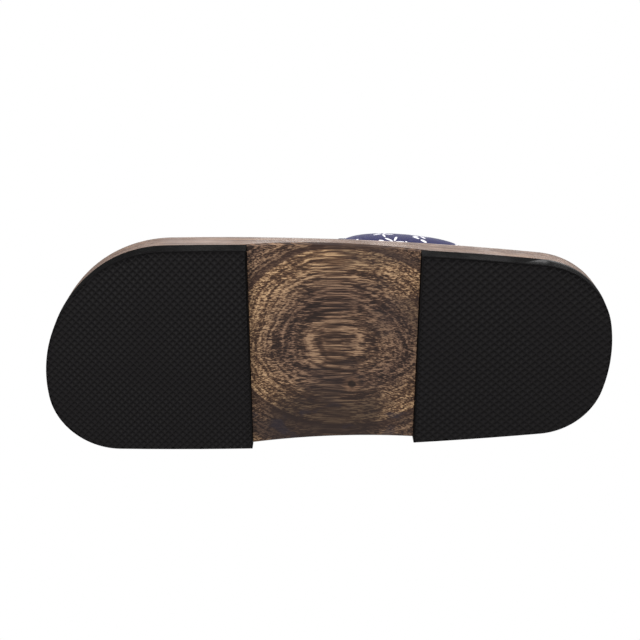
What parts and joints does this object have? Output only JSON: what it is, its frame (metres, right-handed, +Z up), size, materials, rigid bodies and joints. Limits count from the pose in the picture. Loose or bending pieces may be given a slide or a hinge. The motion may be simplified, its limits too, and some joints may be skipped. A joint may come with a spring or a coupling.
{
  "type": "wooden spa slipper",
  "caption": "Right-foot slip-on slipper with a flat wooden sole, two rubber tread pads under heel and forefoot, and one wide padded cloth band across the instep.",
  "frame": {"origin": "middle of the slipper's box, on the ground", "axes": "X from heel to toe, -Y the outer side of the foot, +Z up"},
  "size_m": [0.2694, 0.1056, 0.0717],
  "materials": {
    "sole_wood": "scorched and brushed, waxed",
    "tread_rubber": "matte, fine diamond tread",
    "printed_cloth": "woven cotton with a small pale petal print",
    "foam": "soft padding",
    "lining_cloth": "soft brushed cloth",
    "binding_cloth": "woven tape",
    "wedge_wood": "plain sanded",
    "tack_steel": "plain wire"
  },
  "bodies": {
    "root": {"wood_sole": "sole_wood", "heel_pad": "tread_rubber", "front_pad": "tread_rubber", "band_cover": "printed_cloth", "band_padding": "foam", "band_lining": "lining_cloth", "rear_binding": "binding_cloth", "front_binding": "binding_cloth", "lateral_wedge": "wedge_wood", "medial_wedge": "wedge_wood", "lateral_tacks": "tack_steel", "medial_tacks": "tack_steel"}
  },
  "joints": []
}
